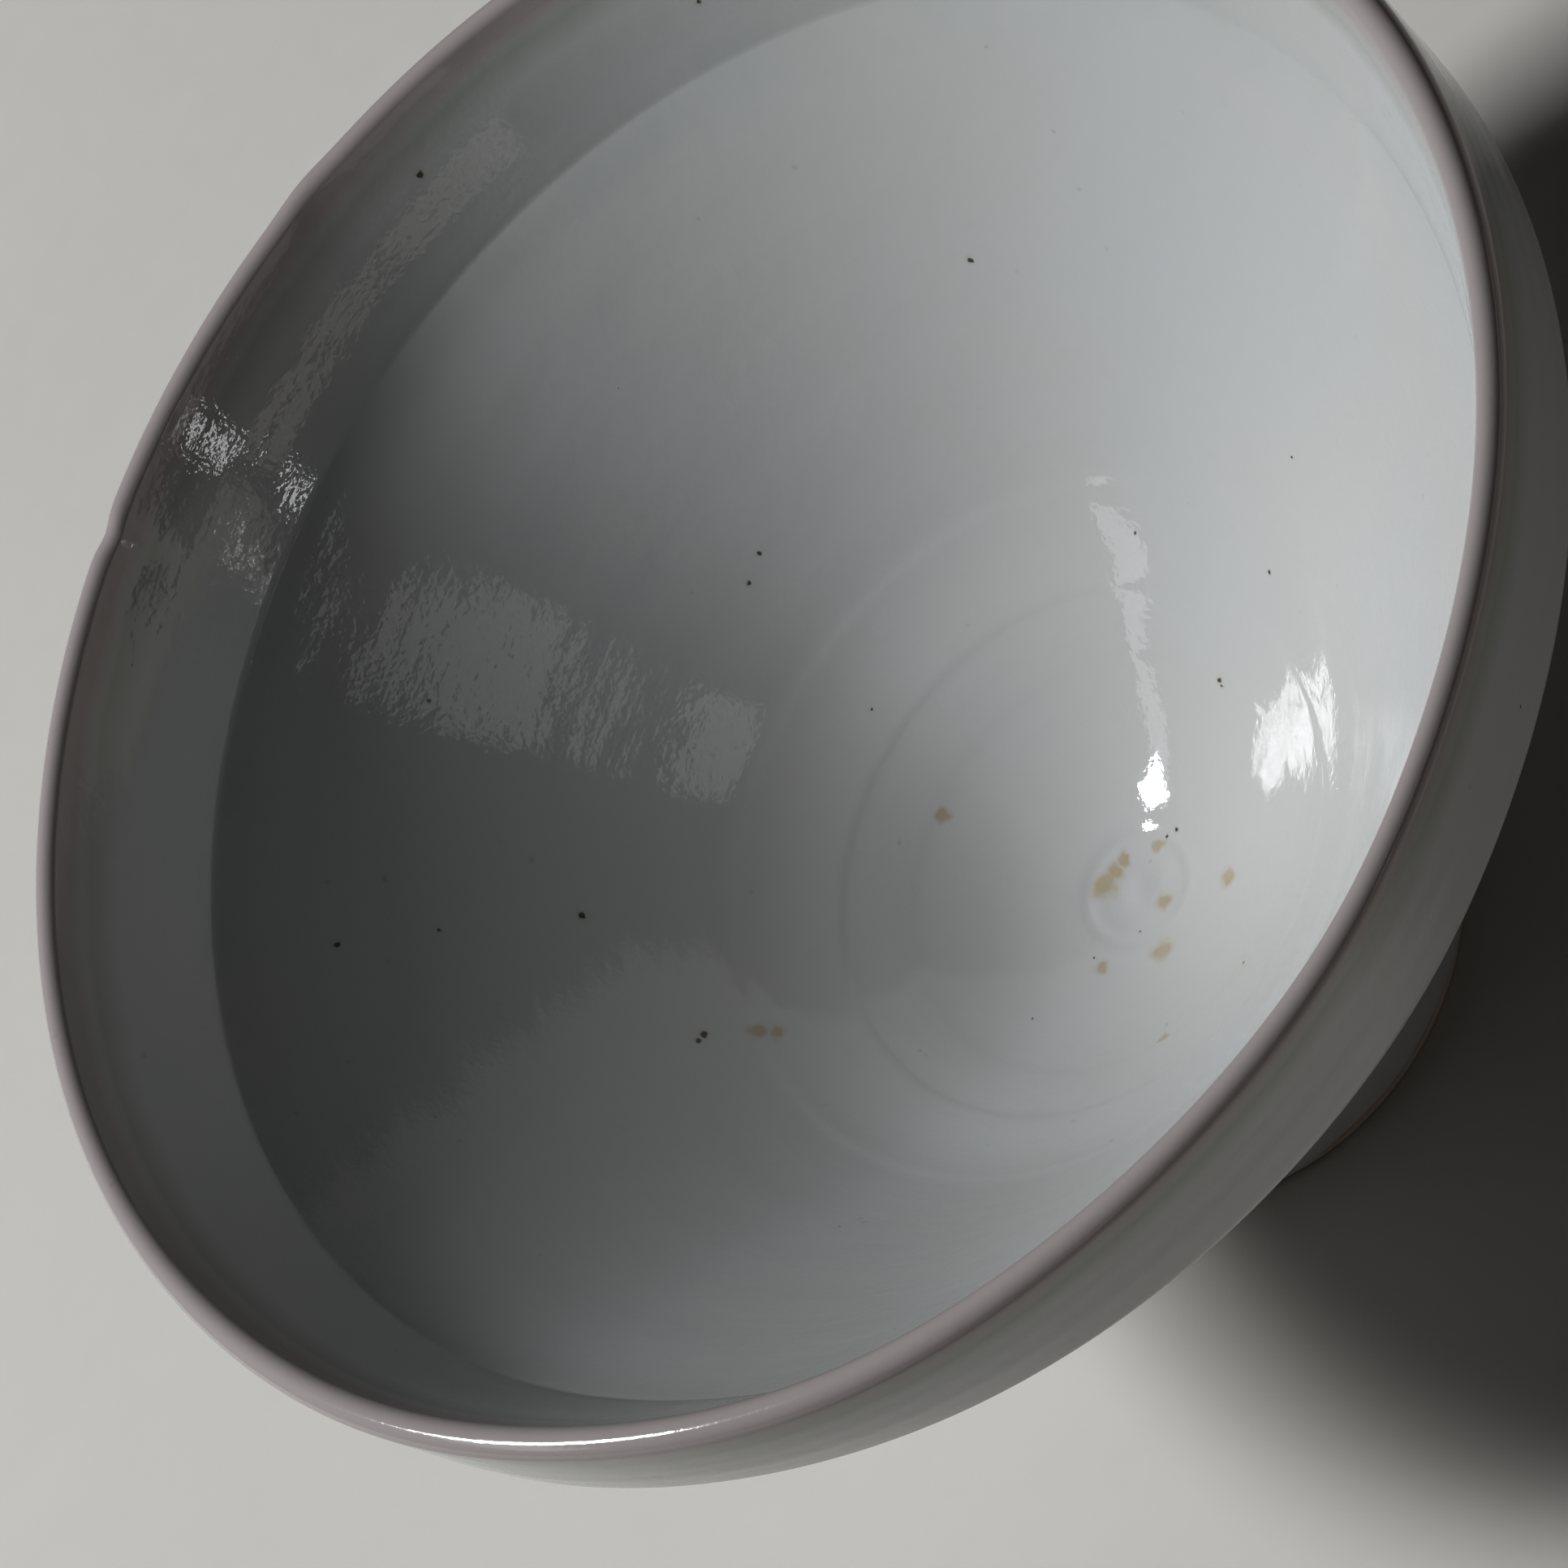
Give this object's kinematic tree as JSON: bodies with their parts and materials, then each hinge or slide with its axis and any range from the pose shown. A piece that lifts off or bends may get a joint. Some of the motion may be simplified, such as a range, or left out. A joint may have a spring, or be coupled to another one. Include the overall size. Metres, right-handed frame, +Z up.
{
  "type": "evaporating dish",
  "caption": "Deep footed porcelain dish for evaporating: glazed bowl with an upright collar, a rounded lip, a straight sloping wall and a foot ring with a bare resting face.",
  "frame": {"origin": "centre of the foot ring's resting face, on the surface that the dish stands on", "axes": "+Z up along the axis that the dish was turned on, out of its mouth; X and Y are any two directions across it"},
  "size_m": [0.12, 0.12, 0.068],
  "materials": {
    "porcelain": "bare fired porcelain, fine and matt",
    "glaze": "glossy, faintly blue-green white glaze",
    "lip_glaze": "glossy glaze run thin, warmer than the rest"
  },
  "bodies": {
    "root": {"porcelain_bowl": "porcelain", "foot_ring": "porcelain", "inside_glaze": "glaze", "outside_glaze": "glaze", "lip_glaze": "lip_glaze", "foot_well_glaze": "glaze"}
  },
  "joints": []
}
